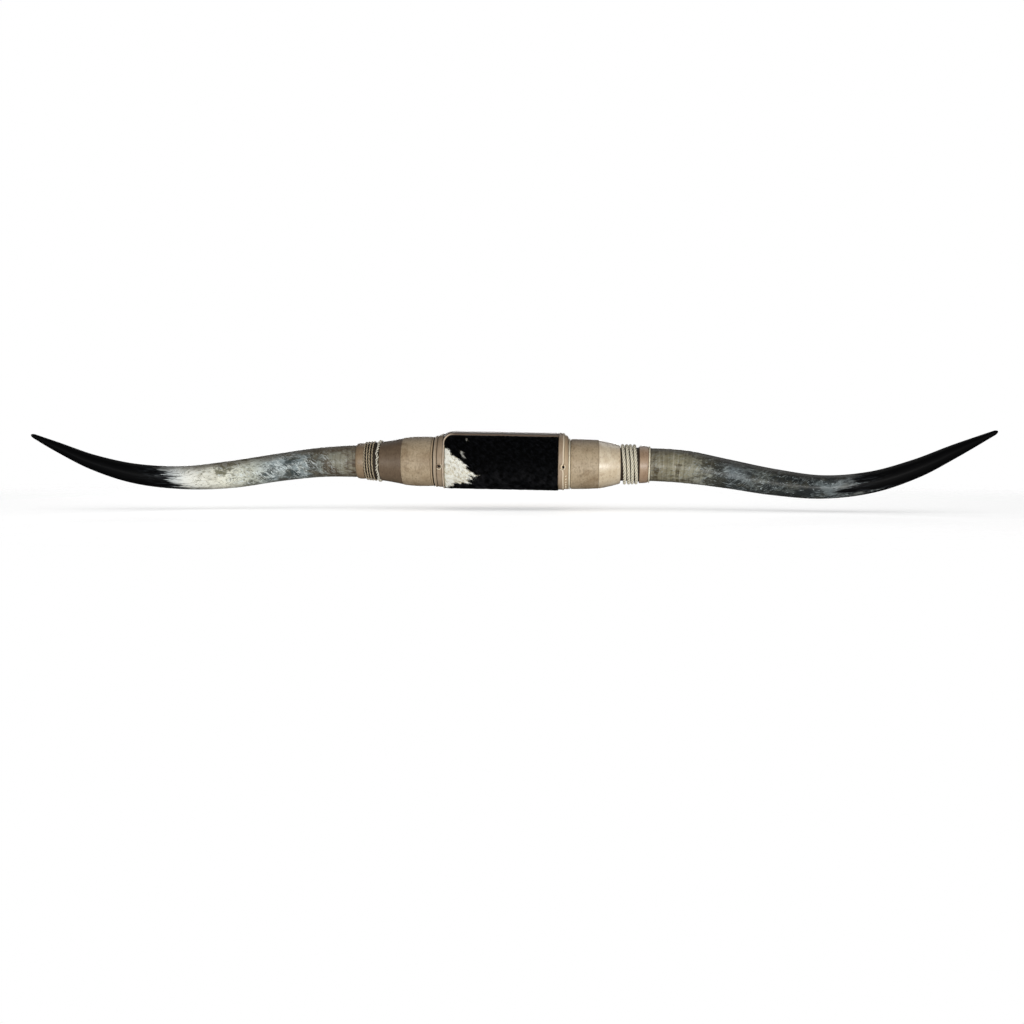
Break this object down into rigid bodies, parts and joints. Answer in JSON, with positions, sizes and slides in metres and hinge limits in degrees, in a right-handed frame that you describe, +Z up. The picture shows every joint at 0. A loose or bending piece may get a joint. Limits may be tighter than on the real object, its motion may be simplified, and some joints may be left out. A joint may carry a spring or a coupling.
{
  "type": "longhorn horn wall mount",
  "caption": "Long pair of polished steer horns joined by a leather-bound, cowhide-fronted block, flat at the back to hang on a wall.",
  "frame": {"origin": "middle of the flat back of the block, on the wall plane", "axes": "+X along the horns to the viewer's right, +Y into the wall, +Z up; the front faces -Y"},
  "size_m": [1.8292, 0.1236, 0.13],
  "materials": {
    "horn": "polished horn, mottled grey and cream with black tips",
    "tan_leather": "smooth, lightly stained tan leather",
    "taupe_leather": "smooth dark taupe leather",
    "rawhide": "glossy pale rawhide",
    "cowhide": "short black cow hair with one white patch",
    "cord": "cream two-ply twisted cord",
    "thong": "thin tan lacing",
    "board": "plain planed softwood",
    "steel": "plated steel strip",
    "nail": "blackened steel nail head"
  },
  "bodies": {
    "root": {"horn_left": "horn", "horn_right": "horn", "collar_left": "tan_leather", "lashing_left": "thong", "lace_left": "cord", "sleeve_outer_left": "taupe_leather", "sleeve_inner_left": "tan_leather", "band_left": "tan_leather", "nail_left": "nail", "block_body": "tan_leather", "hide_panel": "cowhide", "hide_cord": "cord", "back_board": "board", "hanger_strip": "steel", "hanger_pin_left": "steel", "hanger_pin_right": "steel", "band_right": "tan_leather", "nail_right": "nail", "piping_right": "cord", "sleeve_inner_right": "tan_leather", "sleeve_outer_right": "rawhide", "lashing_right": "cord", "collar_right": "tan_leather", "collar_piping_right": "cord"}
  },
  "joints": []
}
